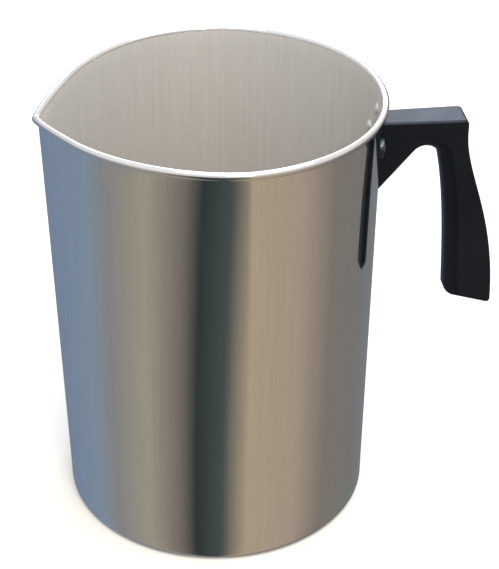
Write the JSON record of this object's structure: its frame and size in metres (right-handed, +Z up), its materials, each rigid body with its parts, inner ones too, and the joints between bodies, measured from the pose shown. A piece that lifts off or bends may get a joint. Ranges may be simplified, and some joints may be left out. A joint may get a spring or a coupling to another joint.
{
  "type": "candle melting pot",
  "caption": "Tall round aluminium melting and pouring pot with a pinched spout, a rolled rim and a black moulded L-shaped handle on a riveted bracket.",
  "frame": {"origin": "centre of the round underside, where the pot stands on the table", "axes": "+Z up along the pot's axis, +X towards the handle, -X towards the pouring spout, +Y to the side"},
  "size_m": [0.2075, 0.1484, 0.2019],
  "materials": {
    "pot_aluminium": "polished outside, satin inside",
    "bracket_aluminium": "dark anodised",
    "rivet_aluminium": "bright",
    "handle_phenolic": "moulded, low sheen",
    "zinc_steel": "zinc plated"
  },
  "bodies": {
    "root": {"pot_body": "pot_aluminium", "handle_bracket": "bracket_aluminium", "bracket_rivets": "rivet_aluminium", "handle": "handle_phenolic", "captive_nut": "zinc_steel", "handle_screw": "zinc_steel", "lock_washer": "zinc_steel"}
  },
  "joints": []
}
